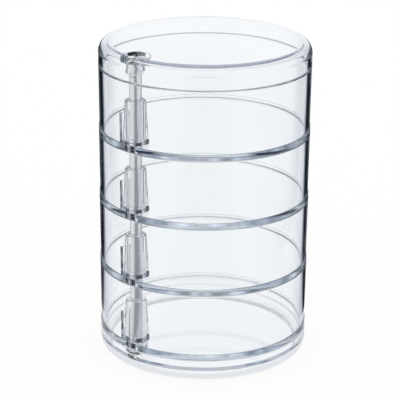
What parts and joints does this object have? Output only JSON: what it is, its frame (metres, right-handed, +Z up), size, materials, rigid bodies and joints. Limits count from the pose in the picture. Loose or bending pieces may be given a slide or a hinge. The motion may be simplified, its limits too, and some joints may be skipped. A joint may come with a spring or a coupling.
{
  "type": "rotating jewellery organiser",
  "caption": "Clear round jewellery tower: stacked trays and a lid that swing out one by one about an upright steel pole near the wall, on a low round base.",
  "frame": {"origin": "centre of the round base at the table surface", "axes": "+Z up along the stack; -Y is the front; the pole stands at the front left, on the -X -Y side"},
  "size_m": [0.115, 0.115, 0.175],
  "materials": {
    "clear_plastic": "clear, polished mould",
    "polished_steel": "polished bright bar",
    "plated_screw": "bright plated"
  },
  "bodies": {
    "stand": {"base": "clear_plastic", "pole": "polished_steel", "pole_screws": "plated_screw"},
    "tray_1_body": {"tray_1": "clear_plastic"},
    "tray_2_body": {"tray_2": "clear_plastic"},
    "tray_3_body": {"tray_3": "clear_plastic"},
    "tray_4_body": {"tray_4": "clear_plastic"},
    "lid_body": {"lid": "clear_plastic"}
  },
  "joints": [
    {"name": "tray_1_swing", "type": "hinge", "parent": "stand", "child": "tray_1_body", "pos_m": [-0.03567, -0.03212, 0.0253], "axis": [0, 0, 1], "continuous": true},
    {"name": "tray_2_swing", "type": "hinge", "parent": "stand", "child": "tray_2_body", "pos_m": [-0.03567, -0.03212, 0.0628], "axis": [0, 0, 1], "continuous": true},
    {"name": "tray_3_swing", "type": "hinge", "parent": "stand", "child": "tray_3_body", "pos_m": [-0.03567, -0.03212, 0.1003], "axis": [0, 0, 1], "continuous": true},
    {"name": "tray_4_swing", "type": "hinge", "parent": "stand", "child": "tray_4_body", "pos_m": [-0.03567, -0.03212, 0.1378], "axis": [0, 0, 1], "continuous": true},
    {"name": "lid_swing", "type": "hinge", "parent": "stand", "child": "lid_body", "pos_m": [-0.03567, -0.03212, 0.168], "axis": [0, 0, 1], "continuous": true}
  ]
}
